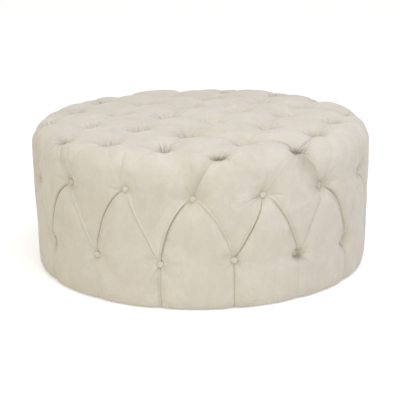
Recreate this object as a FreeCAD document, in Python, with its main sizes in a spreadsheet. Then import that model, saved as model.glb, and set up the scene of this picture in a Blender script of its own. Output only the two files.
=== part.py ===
import FreeCAD, Part
import math
import os

# Round, deep-buttoned velvet tuffet, 914 mm across and 407 mm high.
# Frame: origin at the centre of the underside, on the floor, +Z up, millimetres.
# The button pattern is a square lattice on top and two staggered rows round the side.

Vector = FreeCAD.Vector
doc = FreeCAD.newDocument("tuffet")

# Driving dimensions

SIZES = [
    ("overall_diameter", 914, "across the fullest part of the side cushions"),
    ("overall_height", 407, "floor to the top of the middle cushion"),
    ("crown_rise", 16, "how far the middle of the top stands above its rim"),
    ("rim_radius", 54, "rounding between top and side"),
    ("hem_inset", 4.4, "how far the side draws in from its fullest part to the hem"),
    ("rim_tuft_inset", 35.4, "outermost top tufts, inward from the side"),
    ("upper_tuft_drop", 12, "upper row of side tufts below the underside of the deck"),
    ("lower_tuft_height", 118, "lower row of side tufts above the floor"),
    ("top_tuft_depth", 44, "bottom of a top tuft below the crests"),
    ("top_fold_depth", 13, "middle of a top fold below the crests"),
    ("rim_tuft_depth", 36, "bottom of a tuft near the rim below the crests"),
    ("rim_fold_depth", 7, "middle of a fold over the rim below the crests"),
    ("side_tuft_depth", 34, "bottom of a side tuft below the crests"),
    ("side_fold_depth", 9, "middle of a side fold below the crests"),
    ("hem_fold_depth", 3, "pleat depth at the hem"),
    ("cover_thickness", 2, "velvet with its backing, at its thinnest"),
    ("turn_under", 78, "width of cover turned under the base"),
    ("layer_gap", 0.3, "clearance between soft layers"),
    ("button_diameter", 18, "covered button"),
    ("button_rise", 6, "height of a covered button"),
    ("button_edge", 2, "straight edge of a covered button"),
    ("button_shoulder", 3, "rounding of a covered button"),
    ("twine_thickness", 1.6, "tufting twine across"),
    ("toggle_length", 16, "toggle that stops a twine"),
    ("toggle_width", 5, "toggle across and thick"),
    ("batting_least", 3, "least batting under a tuft"),
    ("side_foam_thickness", 15, "foam wrapped round the side"),
    ("top_foam_thickness", 34, "foam slab on the deck"),
    ("foam_edge_chamfer", 15, "cut top edge of the foam slab"),
    ("deck_thickness", 15, "plywood deck"),
    ("base_thickness", 18, "plywood base ring"),
    ("base_width", 70, "base ring, radially"),
    ("post_section", 40, "square post"),
    ("post_inset", 3, "posts behind the panel"),
    ("panel_thickness", 3, "hardboard round the posts"),
    ("anchor_inset", 26, "outermost deck anchors, inward from the deck edge"),
    ("dust_cover_thickness", 0.6, "black cloth under the base"),
    ("dust_cover_margin", 9, "dust cover edge, outward from the turned edge of the cover"),
    ("glide_diameter", 24, "nail-on glide"),
    ("glide_height", 5, "glide head, floor to the dust cover"),
    ("glide_bevel", 2, "bevel round the foot of a glide"),
    ("glide_inset", 18, "glides, inward from the turned edge of the cover"),
    ("glide_nail_diameter", 3, "nail of a glide"),
    ("glide_nail_length", 16, "nail of a glide, above its head"),
    ("screw_diameter", 4.5, "wood screw shank"),
    ("screw_head_diameter", 9, "wood screw head"),
    ("screw_head_height", 3, "wood screw head, sunk in"),
    ("screw_length", 45, "wood screw overall"),
    ("staple_crown", 10, "staple across"),
    ("staple_leg", 8, "staple leg"),
    ("staple_wire", 1.2, "staple wire"),
    ("staple_inset", 10, "staples, outward from the edge of the dust cover"),
]

sheet = doc.addObject("Spreadsheet::Sheet", "Sizes")
for row, (name, value, note) in enumerate(SIZES, start=1):
    sheet.set("A%d" % row, name)
    sheet.set("B%d" % row, str(value))
    sheet.set("C%d" % row, note)
    sheet.setAlias("B%d" % row, name)
doc.recompute()


def size(name):
    return float(getattr(sheet, name))


# Counts that belong to the pattern

TUFTS_ACROSS = 6
TUFTS_IN_ROW = 16
POSTS = 8
GLIDES = 8
COVER_STAPLES = 16
FOLD_STEPS = 4
RINGS = (0.8, 0.5)
TURNED_SIDES = 32
FOAM_SIDES = 48
BUTTON_SIDES = 8
SCREW_SIDES = 6
GLIDE_SIDES = 12
TWINE_SIDES = 4

# Shares and powers that shape the folds, and the distance below which two points are one

PULL_POWER = 3
HEM_PULL = 0.5
PROBES = 8
TOUCH = 1e-6

# The tufts: on the top by their half steps on the lattice, on the side by row and number

OUTER, NEXT = (TUFTS_ACROSS - 1) / 2, (TUFTS_ACROSS - 3) / 2
HALVES = [row - OUTER for row in range(TUFTS_ACROSS)]
ON_SIDE = ("upper", "lower", "hem")
TOP = [(i, j) for i in HALVES for j in HALVES if math.hypot(i, j) < TUFTS_ACROSS / 2]
INNER = [node for node in TOP if max(abs(node[0]), abs(node[1])) <= NEXT]
RIM = sorted((node for node in TOP if node not in INNER), key=lambda n: math.atan2(n[1], n[0]) % math.tau)

# Places worked out from the sizes, each bound to the cells by an expression

PLACES = [
    ("full_radius", "Sizes.overall_diameter / 2"),
    ("rim_centre_radius", "Places.full_radius - Sizes.rim_radius"),
    ("rim_centre_height", "Sizes.overall_height - Sizes.crown_rise - Sizes.rim_radius"),
    ("hem_height", "Sizes.glide_height + Sizes.dust_cover_thickness"),
    ("base_bottom", "Places.hem_height + Sizes.cover_thickness"),
    ("base_top", "Places.base_bottom + Sizes.base_thickness"),
    ("padding_bottom", "Places.base_bottom + Sizes.layer_gap"),
    ("padding_depth", "Sizes.cover_thickness + 2 * Sizes.layer_gap + Sizes.batting_least"),
    ("foam_radius", "Places.full_radius - Sizes.side_tuft_depth - Places.padding_depth"),
    ("panel_radius", "Places.foam_radius - Sizes.side_foam_thickness - Sizes.layer_gap"),
    ("panel_inner", "Places.panel_radius - Sizes.panel_thickness"),
    ("deck_radius", "Places.panel_inner - Sizes.layer_gap"),
    ("ring_inner", "Places.deck_radius - Sizes.base_width"),
    ("crown_foot", "Sizes.overall_height - Sizes.crown_rise"),
    ("foam_top", "Places.crown_foot - Sizes.top_tuft_depth - Places.padding_depth"),
    ("slab_bottom", "Places.foam_top - Sizes.top_foam_thickness"),
    ("deck_top", "Places.slab_bottom - Sizes.layer_gap"),
    ("deck_bottom", "Places.deck_top - Sizes.deck_thickness"),
    ("upper_tuft_height", "Places.deck_bottom - Sizes.upper_tuft_drop"),
    ("turned_radius", "Places.full_radius - Sizes.hem_inset - Sizes.turn_under"),
    ("dust_cover_radius", "Places.turned_radius + Sizes.dust_cover_margin"),
]

places = doc.addObject("App::VarSet", "Places")
for name, expression in PLACES:
    places.addProperty("App::PropertyFloat", name, "Places")
    places.setExpression(name, expression)
doc.recompute()

radius = places.full_radius
height = size("overall_height")
crown = size("crown_rise")
rim = size("rim_radius")
gap = size("layer_gap")
hem_height = places.hem_height
rim_centre_radius = places.rim_centre_radius
rim_centre_height = places.rim_centre_height
side_height = rim_centre_height - hem_height
lattice = (radius - size("rim_tuft_inset")) / math.hypot(OUTER, NEXT)

# The tufted net is drawn on an unrolled plan, where the distance from the middle is measured
# along the smooth full shape: over the crown, round the rim and down the side.
# A spot of the net is a place on that plan with its depth below the full shape.

rim_start = rim_centre_radius
rim_end = rim_start + rim * math.pi / 2


def skin(place):
    """Point of the smooth full shape at a place of the plan, and the outward normal there."""
    along = place.Length
    out = place / along if along > TOUCH else Vector(1, 0, 0)
    up = Vector(0, 0, 1)
    if along <= rim_start:
        fall = crown * (along / rim_start) ** 2
        normal = up + out * (2 * crown * along / rim_start ** 2)
        return out * along + up * (height - fall), normal.normalize()
    if along <= rim_end:
        lean = (rim_end - along) / rim
        normal = out * math.cos(lean) + up * math.sin(lean)
        return out * rim_centre_radius + up * rim_centre_height + normal * rim, normal
    drop = along - rim_end
    draw = size("hem_inset") * (drop / side_height) ** 2
    return out * (radius - draw) + up * (rim_centre_height - drop), out


def sunk(spot):
    place, depth = spot
    foot, normal = skin(place)
    return foot - normal * depth


def polar(distance, degrees, level=0):
    angle = math.radians(degrees)
    return Vector(distance * math.cos(angle), distance * math.sin(angle), level)


def along_to(level):
    """Distance on the plan from the middle to a height on the side."""
    if level <= rim_centre_height:
        return rim_end + rim_centre_height - level
    lean = math.asin(min(1, (level - rim_centre_height) / rim))
    return rim_end - rim * lean


def tuft_place(node):
    kind, k = node
    step = 360 / TUFTS_IN_ROW
    if kind == "upper":
        return polar(along_to(places.upper_tuft_height), step * k)
    if kind == "lower":
        return polar(along_to(size("lower_tuft_height")), step * (k + 0.5))
    if kind == "hem":
        return polar(along_to(hem_height), step * (k + 0.5))
    flat = Vector(kind, k, 0) * lattice
    across = flat.Length
    if across <= rim_start:
        return flat
    lean = math.acos((across - rim_start) / rim)
    return flat * ((rim_end - rim * lean) / across)


def tuft_depth(node):
    if node[0] == "hem":
        return size("hem_fold_depth")
    if node[0] in ON_SIDE:
        return size("side_tuft_depth")
    return size("rim_tuft_depth" if node in RIM else "top_tuft_depth")


def fold_depth(first, second):
    on_side = (first[0] in ON_SIDE) + (second[0] in ON_SIDE)
    return size(("top_fold_depth", "rim_fold_depth", "side_fold_depth")[on_side])


def fold(first, second, steps):
    """Spots along a fold from one tuft to the next, shallow in the middle."""
    turned = repr(first) > repr(second)
    start, end = (second, first) if turned else (first, second)
    middle = fold_depth(start, end)
    spots = []
    for step in range(steps + 1):
        share = step / steps
        place = tuft_place(start) * (1 - share) + tuft_place(end) * share
        ends = tuft_depth(start) * (1 - share) + tuft_depth(end) * share
        pull = abs(math.cos(math.pi * share)) ** PULL_POWER
        if "hem" in (start[0], end[0]):
            pull = 1 - HEM_PULL * math.sin(math.pi * share)
        spots.append((place, middle + (ends - middle) * pull))
    return spots[::-1] if turned else spots


def hem_edge(k, steps):
    """Spots along the hem from one pleat to the next, full in the middle."""
    spots = []
    for step in range(steps + 1):
        share = step / steps
        angle = 360 / TUFTS_IN_ROW * (k - 0.5 + share)
        depth = size("hem_fold_depth") * abs(math.cos(math.pi * share))
        spots.append((polar(along_to(hem_height), angle), depth))
    return spots


def top_cells():
    cells = []
    for i in HALVES[:-1]:
        for j in HALVES[:-1]:
            square = [(i, j), (i + 1, j), (i + 1, j + 1), (i, j + 1)]
            if all(node in TOP for node in square):
                cells.append(square)
    return cells


def rim_cells():
    """Cells between the rim tufts and the upper row; the four corner ones reach inward."""
    cells = []
    for k in range(TUFTS_IN_ROW):
        before, after = RIM[k - 1], RIM[k]
        if abs(before[0] - after[0]) == 1 and abs(before[1] - after[1]) == 1:
            corner = (math.copysign(NEXT, after[0]), math.copysign(NEXT, after[1]))
            cells.append([corner, before, ("upper", k), after])
        else:
            cells.append([before, ("upper", k), after])
    return cells


def side_cells():
    cells = []
    for k in range(TUFTS_IN_ROW):
        following = (k + 1) % TUFTS_IN_ROW
        cells.append([RIM[k], ("upper", k), ("lower", k), ("upper", following)])
    return cells


def outline(nodes, steps):
    spots = []
    for first, second in zip(nodes, nodes[1:] + nodes[:1]):
        spots += fold(first, second, steps)[:-1]
    return spots


def hem_outline(k, steps):
    before = (k - 1) % TUFTS_IN_ROW
    spots = fold(("upper", k), ("lower", before), steps)[:-1]
    spots += fold(("lower", before), ("hem", before), steps // 2)[:-1]
    spots += hem_edge(k, steps)[:-1]
    spots += fold(("hem", k), ("lower", k), steps // 2)[:-1]
    spots += fold(("lower", k), ("upper", k), steps)[:-1]
    return spots


def pillow(edge, rings):
    """Facets of one cushion, from its sunk outline up to its crest, as triples of spots."""
    middle = sum((place for place, depth in edge), Vector()) / len(edge)
    levels = [edge]
    for ring in rings:
        swell = 1 - math.sqrt(1 - ring ** 2)
        levels.append([(middle + (place - middle) * ring, depth * swell) for place, depth in edge])
    facets = []
    count = len(edge)
    for outer, inner in zip(levels, levels[1:]):
        for k in range(count):
            a, b, c, d = outer[k], outer[(k + 1) % count], inner[(k + 1) % count], inner[k]
            if (sunk(a) - sunk(c)).Length < (sunk(b) - sunk(d)).Length:
                facets += [(a, b, c), (a, c, d)]
            else:
                facets += [(a, b, d), (b, c, d)]
    for k in range(count):
        facets.append((levels[-1][k], levels[-1][(k + 1) % count], (middle, 0)))
    return facets


def net(steps, rings, extra, hem_level):
    """Corners of all facets of the tufted skin and of its hem, sunk by an extra depth."""
    facets = []
    for nodes in top_cells() + rim_cells() + side_cells():
        facets += pillow(outline(nodes, steps), rings)
    hem = []
    for k in range(TUFTS_IN_ROW):
        facets += pillow(hem_outline(k, steps), rings)
        hem += hem_edge(k, steps)[:-1]

    def corner(spot):
        place, depth = spot
        point = sunk((place, depth + extra))
        if abs(place.Length - along_to(hem_height)) < TOUCH:
            point.z = hem_level
        return point

    return [tuple(corner(spot) for spot in facet) for facet in facets], [corner(spot) for spot in hem]


def facet_face(corners):
    return Part.Face(Part.makePolygon(list(corners) + [corners[0]]))


def ring_face(outer_wire, inner_wire):
    return Part.makeFace([outer_wire, inner_wire], "Part::FaceMakerBullseye")


def solid_of(faces):
    shell = Part.Compound(faces)
    shell.sewShape()
    solid = Part.makeSolid(shell.Shells[0])
    return solid if solid.Volume > 0 else solid.reversed()


def level_at(points, level):
    return [Vector(point.x, point.y, level) for point in points]


def closed_wire(points):
    return Part.makePolygon(points + [points[0]])


def band_faces(sides, sections):
    """Flat faces between regular polygons of given circumradius and height, one above another."""
    rings = [[polar(across, 360 * k / sides, level) for k in range(sides)] for across, level in sections]
    faces = []
    for lower, upper in zip(rings, rings[1:]):
        for k in range(sides):
            faces.append(facet_face((lower[k - 1], lower[k], upper[k], upper[k - 1])))
    return faces, rings


def faceted(sides, sections):
    """Closed solid of such bands, flat at both ends."""
    faces, rings = band_faces(sides, sections)
    return solid_of(faces + [facet_face(rings[0]), facet_face(rings[-1])])


# Finished pieces, in the order in which they are exported

pieces = []


def bound(owner, **expressions):
    for name, expression in expressions.items():
        owner.setExpression(name, expression)


def keep(made, name):
    made.Label = name
    pieces.append(made)
    return made


def keep_shape(name, shape):
    made = doc.addObject("Part::Feature", name)
    made.Shape = shape
    made.Placement = FreeCAD.Placement()
    return keep(made, name)


def keep_copies(name, master, placements):
    """One node of alike solids, each a copy of the master piece in its own place."""
    doc.recompute()
    copies = []
    for placement in placements:
        copy = master.Shape.copy()
        copy.Placement = placement.multiply(copy.Placement)
        copies.append(copy)
    return keep_shape(name, Part.Compound(copies))


def facing(place, direction, turn=None):
    """Placement that stands a piece's Z axis along a direction at a place."""
    stand = FreeCAD.Rotation(Vector(0, 0, 1), direction)
    if turn is not None:
        stand = turn.multiply(stand)
    return FreeCAD.Placement(place, stand)


def make_cover(outside, outer_hem):
    """Velvet cover: fine tufted outside, plainer inside, turned under the base."""
    thickness = size("cover_thickness")
    inside, inner_hem = net(FOLD_STEPS // 2, RINGS[1:], thickness, places.base_bottom)
    faces = [facet_face(corners) for corners in outside + inside]
    turn = 360 / TURNED_SIDES
    turned_low = [polar(places.turned_radius, turn * k, hem_height) for k in range(TURNED_SIDES)]
    turned_high = level_at(turned_low, places.base_bottom)
    faces.append(ring_face(closed_wire(outer_hem), closed_wire(turned_low)))
    faces.append(ring_face(closed_wire(inner_hem), closed_wire(turned_high)))
    for k in range(TURNED_SIDES):
        faces.append(facet_face((turned_low[k - 1], turned_low[k], turned_high[k], turned_high[k - 1])))
    return keep_shape("cover", solid_of(faces))


def make_batting():
    """Batting: quilted outside by the tufts, plain inside where it lies on the foam."""
    depth = size("cover_thickness") + gap
    outside, outer_hem = net(FOLD_STEPS // 2, RINGS[1:], depth, places.padding_bottom)
    faces = [facet_face(corners) for corners in outside]
    across = places.foam_radius + gap
    cut = size("foam_edge_chamfer")
    hollow, rings = band_faces(FOAM_SIDES, [
        (across, places.padding_bottom),
        (across, places.foam_top + gap - cut),
        (across - cut, places.foam_top + gap),
    ])
    faces += hollow
    faces.append(facet_face(rings[-1]))
    faces.append(ring_face(closed_wire(outer_hem), closed_wire(rings[0])))
    return keep_shape("batting", solid_of(faces))


def disc(kind, name, across, bottom, thickness, sides=None):
    """Round plate, or a many-sided one where the piece is cut by hand."""
    made = doc.addObject(kind, name)
    if sides is None:
        bound(made, Radius=across)
    else:
        made.Polygon = sides
        bound(made, Circumradius=across)
    bound(made, Height=thickness)
    made.setExpression("Placement.Base.z", bottom)
    return made


def hollow_disc(name, full, middle):
    cut = doc.addObject("Part::Cut", name)
    cut.Base = full
    cut.Tool = middle
    return keep(cut, name)


def make_padding():
    """Foam cut with a knife: a slab on the deck and a strip round the side."""
    cut = size("foam_edge_chamfer")
    slab = faceted(FOAM_SIDES, [
        (places.foam_radius, places.slab_bottom),
        (places.foam_radius, places.foam_top - cut),
        (places.foam_radius - cut, places.foam_top),
    ])
    keep_shape("top_foam", slab)
    inner = "(Places.panel_radius + Sizes.layer_gap) / cos(180 deg / %d)" % FOAM_SIDES
    span = ("Places.padding_bottom", "Places.deck_top - Places.padding_bottom", FOAM_SIDES)
    full = disc("Part::Prism", "side_foam_full", "Places.foam_radius", *span)
    hollow_disc("side_foam", full, disc("Part::Prism", "side_foam_middle", inner, *span))


def make_frame():
    """Plywood deck and base ring, the posts between them and the panel round the posts."""
    span = ("Places.deck_bottom", "Sizes.deck_thickness")
    keep(disc("Part::Cylinder", "deck", "Places.deck_radius", *span), "deck")
    span = ("Places.base_bottom", "Sizes.base_thickness")
    full = disc("Part::Cylinder", "base_ring_full", "Places.deck_radius", *span)
    hollow_disc("base_ring", full, disc("Part::Cylinder", "base_ring_middle", "Places.ring_inner", *span))
    span = ("Places.base_bottom", "Places.deck_top - Places.base_bottom")
    full = disc("Part::Cylinder", "side_panel_full", "Places.panel_radius", *span)
    hollow_disc("side_panel", full, disc("Part::Cylinder", "side_panel_middle", "Places.panel_inner", *span))
    for k in range(POSTS):
        name = "post_%d" % (k + 1)
        post = doc.addObject("Part::Box", name)
        bound(post, Length="Sizes.post_section", Width="Sizes.post_section")
        bound(post, Height="Places.deck_bottom - Places.base_top")
        turn = FreeCAD.Rotation(Vector(0, 0, 1), post_angle(k))
        half = size("post_section") / 2
        corner = turn.multVec(Vector(post_middle() - half, -half, places.base_top))
        post.Placement = FreeCAD.Placement(corner, turn)
        keep(post, name)


def post_angle(k):
    """Posts stand halfway between an upper and a lower button, clear of the twines."""
    return 90 / TUFTS_IN_ROW + 360 / POSTS * k


def post_middle():
    half = size("post_section") / 2
    return math.sqrt(places.deck_radius ** 2 - half ** 2) - size("post_inset") - half


def seat_height(tuft, normal, facets):
    """How far out of a tuft a button's back must lie for its edge to clear the walls."""
    reach = size("button_diameter") / 2
    highest = 0
    for corners in facets:
        ends = [corner - tuft for corner in corners if (corner - tuft).Length > TOUCH]
        if len(ends) != 2:
            continue
        for step in range(PROBES + 1):
            way = ends[0] + (ends[1] - ends[0]) * (step / PROBES)
            rise = way.dot(normal)
            across = (way - normal * rise).Length
            highest = max(highest, rise / across * reach)
    return highest + gap


def make_buttons(outside):
    """Covered buttons in their wells, the twines behind them and the toggles inside."""
    half = size("button_diameter") / 2
    shoulder = size("button_shoulder")
    button = doc.addObject("Part::Feature", "button")
    button.Shape = faceted(BUTTON_SIDES, [
        (half, 0),
        (half, size("button_edge")),
        (half - shoulder, size("button_rise") - shoulder / 3),
        (shoulder, size("button_rise")),
    ])
    toggle = doc.addObject("Part::Box", "toggle")
    bound(toggle, Length="Sizes.toggle_length", Width="Sizes.toggle_width", Height="Sizes.toggle_width")
    toggle.setExpression("Placement.Base.x", "-Sizes.toggle_length / 2")
    toggle.setExpression("Placement.Base.y", "-Sizes.toggle_width / 2")
    doc.recompute()
    near = {}
    for corners in outside:
        for corner in corners:
            near.setdefault(tuple(round(value, 3) for value in corner), []).append(corners)
    rows = {
        "top": INNER,
        "rim": RIM,
        "upper_side": [("upper", k) for k in range(TUFTS_IN_ROW)],
        "lower_side": [("lower", k) for k in range(TUFTS_IN_ROW)],
    }
    for row, nodes in rows.items():
        buttons, twines, toggles = [], [], []
        for node in nodes:
            normal = skin(tuft_place(node))[1]
            tuft = sunk((tuft_place(node), tuft_depth(node)))
            facets = near[tuple(round(value, 3) for value in tuft)]
            back = tuft + normal * seat_height(tuft, normal, facets)
            buttons.append(facing(back, normal))
            anchor, direction = anchor_of(node)
            toggles.append(facing(anchor, direction))
            twines.append(twine(back, anchor))
        keep_copies(row + "_buttons", button, buttons)
        keep_shape(row + "_twines", Part.Compound(twines))
        keep_copies(row + "_toggles", toggle, toggles)


def anchor_of(node):
    """Where a twine ends behind the deck or the panel, and the way its toggle stands off."""
    place = skin(tuft_place(node))[0]
    across = math.hypot(place.x, place.y)
    out = Vector(place.x, place.y, 0) / across
    if node[0] in ON_SIDE:
        return out * (places.panel_inner - gap) + Vector(0, 0, place.z), out * -1
    reach = min(across, places.deck_radius - size("anchor_inset"))
    return out * reach + Vector(0, 0, places.deck_bottom), Vector(0, 0, -1)


def twine(start, end):
    half = size("twine_thickness") / 2
    along = end - start
    turn = FreeCAD.Rotation(Vector(0, 0, 1), along)
    corners = [start + turn.multVec(polar(half, 360 / TWINE_SIDES * k)) for k in range(TWINE_SIDES)]
    return facet_face(corners).extrude(along)


def make_fasteners():
    head, shank, length = size("screw_head_diameter") / 2, size("screw_diameter") / 2, size("screw_length")
    screw = doc.addObject("Part::Feature", "screw")
    screw.Shape = faceted(SCREW_SIDES, [
        (shank / 8, -length),
        (shank, 2 * shank - length),
        (shank, -size("screw_head_height")),
        (head, 0),
    ])
    up, down = Vector(0, 0, 1), Vector(0, 0, -1)
    feet = [polar(post_middle(), post_angle(k)) for k in range(POSTS)]
    keep_copies("deck_screws", screw, [facing(foot + up * places.deck_top, up) for foot in feet])
    keep_copies("base_screws", screw, [facing(foot + up * places.base_bottom, down) for foot in feet])


def staple_box(name, across, high, left, bottom):
    box = doc.addObject("Part::Box", name)
    bound(box, Length=across, Width="Sizes.staple_wire", Height=high)
    box.setExpression("Placement.Base.x", left)
    box.setExpression("Placement.Base.y", "-Sizes.staple_wire / 2")
    box.setExpression("Placement.Base.z", bottom)
    return box


def make_underside():
    """Black cloth over the turned edge of the cover, the staples that hold it and the glides."""
    span = ("Places.dust_cover_radius", "Sizes.glide_height", "Sizes.dust_cover_thickness", FOAM_SIDES)
    keep(disc("Part::Prism", "dust_cover", *span), "dust_cover")
    wire = "Sizes.staple_wire"
    left, right = "-Sizes.staple_crown / 2", "Sizes.staple_crown / 2 - Sizes.staple_wire"
    staple = doc.addObject("Part::MultiFuse", "staple")
    staple.Shapes = [
        staple_box("staple_back", "Sizes.staple_crown", wire, left, "-Sizes.staple_wire"),
        staple_box("staple_left_leg", wire, "Sizes.staple_leg", left, "0"),
        staple_box("staple_right_leg", wire, "Sizes.staple_leg", right, "0"),
    ]
    staple.Refine = True
    reach = places.dust_cover_radius + size("staple_inset")
    spots = []
    for k in range(COVER_STAPLES):
        angle = 360 / COVER_STAPLES * (k + 0.5)
        turn = FreeCAD.Rotation(Vector(0, 0, 1), angle + 90)
        spots.append(FreeCAD.Placement(polar(reach, angle, hem_height), turn))
    keep_copies("cover_staples", staple, spots)

    head, nail, rise = size("glide_diameter") / 2, size("glide_nail_diameter") / 2, size("glide_height")
    glide = doc.addObject("Part::Feature", "glide")
    glide.Shape = faceted(GLIDE_SIDES, [
        (head - size("glide_bevel"), 0),
        (head, size("glide_bevel")),
        (head, rise),
        (nail, rise),
        (nail, rise + size("glide_nail_length")),
    ])
    reach = places.turned_radius - size("glide_inset")
    spots = [polar(reach, 360 / GLIDES * (k + 0.5)) for k in range(GLIDES)]
    keep_copies("glides", glide, [FreeCAD.Placement(spot, FreeCAD.Rotation()) for spot in spots])


doc.recompute()
outside_net, outside_hem = net(FOLD_STEPS, RINGS, 0, hem_height)
make_cover(outside_net, outside_hem)
make_batting()
make_padding()
make_frame()
make_buttons(outside_net)
make_fasteners()
make_underside()
doc.recompute()

for made in doc.Objects:
    if "Invalid" in made.State or "Error" in made.State:
        raise RuntimeError("%s did not build" % made.Label)
for piece in pieces:
    if piece.Shape.isNull() or not piece.Shape.isValid():
        raise RuntimeError("%s has no valid shape" % piece.Label)

os.makedirs("parts", exist_ok=True)
for piece in pieces:
    piece.Shape.exportStep("parts/%s.step" % piece.Label)
    print("%s: %d solids, %.1f cm3" % (piece.Label, len(piece.Shape.Solids), piece.Shape.Volume / 1000))
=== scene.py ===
import math

import bmesh
import bpy
import numpy as np
from mathutils import Matrix, Vector
from mathutils.kdtree import KDTree


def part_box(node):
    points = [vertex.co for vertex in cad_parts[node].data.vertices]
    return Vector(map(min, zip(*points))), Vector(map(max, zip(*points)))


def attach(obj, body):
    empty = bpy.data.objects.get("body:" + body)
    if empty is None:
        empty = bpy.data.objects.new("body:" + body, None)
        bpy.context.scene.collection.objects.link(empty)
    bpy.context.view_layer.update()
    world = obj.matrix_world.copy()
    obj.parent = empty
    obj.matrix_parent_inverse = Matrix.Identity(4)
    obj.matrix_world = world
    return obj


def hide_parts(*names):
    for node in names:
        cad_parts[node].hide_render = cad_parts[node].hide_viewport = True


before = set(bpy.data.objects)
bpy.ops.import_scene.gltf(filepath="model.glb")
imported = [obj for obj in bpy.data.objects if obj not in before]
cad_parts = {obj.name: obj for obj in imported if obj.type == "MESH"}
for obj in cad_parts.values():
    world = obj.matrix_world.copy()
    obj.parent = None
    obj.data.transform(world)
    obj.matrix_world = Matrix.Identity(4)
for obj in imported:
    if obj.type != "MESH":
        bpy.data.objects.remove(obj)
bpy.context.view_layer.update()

# Sizes of the cover in metres, in the frame of the construction: +Z up, origin on the floor

FULL_RADIUS = 0.457
HEIGHT = 0.407
CROWN_RISE = 0.016
RIM_RADIUS = 0.054
HEM_INSET = 0.0044
HEM_HEIGHT = 0.0095
HEM_ROLL = 0.0065
UNDER_HEIGHT = 0.0056
TURNED_RADIUS = 0.3746
ANCHOR_REACH = 0.345
ANCHOR_DEPTH = 0.105
LATTICE = 0.1446
UPPER_HEIGHT = 0.2801
LOWER_HEIGHT = 0.118
TUFTS_IN_ROW = 16
ROW_TURN = math.radians(0.6)
BUTTON_RADIUS = 0.0082
BUTTON_RISE = 0.0050
BUTTON_SEAT = 0.0006

RIM_CENTRE_RADIUS = FULL_RADIUS - RIM_RADIUS
RIM_CENTRE_HEIGHT = HEIGHT - CROWN_RISE - RIM_RADIUS
RIM_END = RIM_CENTRE_RADIUS + RIM_RADIUS * math.pi / 2
SIDE_HEIGHT = RIM_CENTRE_HEIGHT - HEM_HEIGHT
MM = 0.001

# A tuft: full depth, how far its walls reach, and how sharply they rise, in metres; at the rim
# the wall in front is steeper by a factor

TUFTS = {
    "top": dict(depth=0.031, reach=0.0195, power=1.25),
    "rim": dict(depth=0.035, reach=0.0125, power=1.2, front=2.5),
    "upper": dict(depth=0.0105, reach=0.0185, power=1.35),
    "lower": dict(depth=0.0095, reach=0.0165, power=1.35),
}

def by_row(upper, lower):
    """Values of side tufts, listed by their numbers in the upper and in the lower row."""
    rows = (("upper", upper), ("lower", lower))
    return {(row, k): value for row, values in rows for k, value in values.items()}


# Tufts sewn tighter or slacker than the others of their row

SEWN = by_row(
    upper={
        15: dict(depth=0.0215, reach=0.0120, power=1.3), 11: dict(depth=0.0150, reach=0.0190),
        0: dict(depth=0.0180, reach=0.0150), 10: dict(depth=0.0130, reach=0.0170),
        4: dict(depth=0.0160, reach=0.0150),
    },
    lower={
        15: dict(depth=0.0210, reach=0.0140, power=1.3), 14: dict(depth=0.0250, reach=0.0090),
        10: dict(depth=0.0120, reach=0.0200), 3: dict(depth=0.0140, reach=0.0140),
        8: dict(depth=0.0150, reach=0.0130),
    },
)


def from_axis(places):
    return np.hypot(places[:, 0], places[:, 1])


def skin(places):
    """Points of the smooth full shape at places of the unrolled plan, with outward normals."""
    along = from_axis(places)
    out = places / np.maximum(along, 1e-9)[:, None]
    crown_fall = CROWN_RISE * (along / RIM_CENTRE_RADIUS) ** 2
    crown_slope = 2 * CROWN_RISE * along / RIM_CENTRE_RADIUS ** 2
    lean = (RIM_END - along) / RIM_RADIUS
    drop = along - RIM_END
    draw = HEM_INSET * (drop / SIDE_HEIGHT) ** 2
    on_top = along <= RIM_CENTRE_RADIUS
    on_rim = (along > RIM_CENTRE_RADIUS) & (along <= RIM_END)
    across = np.where(on_top, along, np.where(
        on_rim, RIM_CENTRE_RADIUS + RIM_RADIUS * np.cos(lean), FULL_RADIUS - draw))
    level = np.where(on_top, HEIGHT - crown_fall, np.where(
        on_rim, RIM_CENTRE_HEIGHT + RIM_RADIUS * np.sin(lean), RIM_CENTRE_HEIGHT - drop))
    tilt = np.where(on_top, crown_slope, np.where(on_rim, np.cos(lean), 1.0))
    rise = np.where(on_top, 1.0, np.where(on_rim, np.sin(lean), 0.0))
    feet = np.column_stack([out * across[:, None], level])
    normals = np.column_stack([out * tilt[:, None], rise])
    return feet, normals / np.linalg.norm(normals, axis=1)[:, None]


def along_to(level):
    return RIM_END + RIM_CENTRE_HEIGHT - level


def polar(distance, angle):
    return np.array([distance * math.cos(angle), distance * math.sin(angle)])


def ring_points(distance, angles, level):
    """Points round the axis; the distance and the level are one for all or one for each."""
    return np.column_stack([distance * np.cos(angles), distance * np.sin(angles), level + 0 * angles])


def wrapped(angle):
    """An angle brought to within half a turn of 0."""
    return (angle + math.pi) % math.tau - math.pi


# The tufts: 32 on a square lattice on top, then two staggered rows round the side

STEP = 2 * math.pi / TUFTS_IN_ROW
HALVES = (-2.5, -1.5, -0.5, 0.5, 1.5, 2.5)
ON_SIDE = ("upper", "lower", "hem")
TOP = [(i, j) for i in HALVES for j in HALVES if math.hypot(i, j) < 3]
INNER = [node for node in TOP if max(abs(node[0]), abs(node[1])) < 2]
RIM = sorted((n for n in TOP if n not in INNER), key=lambda n: math.atan2(n[1], n[0]) % math.tau)
UPPER = [("upper", k) for k in range(TUFTS_IN_ROW)]
LOWER = [("lower", k) for k in range(TUFTS_IN_ROW)]
HEM = [("hem", k) for k in range(TUFTS_IN_ROW)]

# How far a sewn tuft strays from the regular pattern, in millimetres:
# along x and y on the top, upward and anticlockwise on the side

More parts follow.
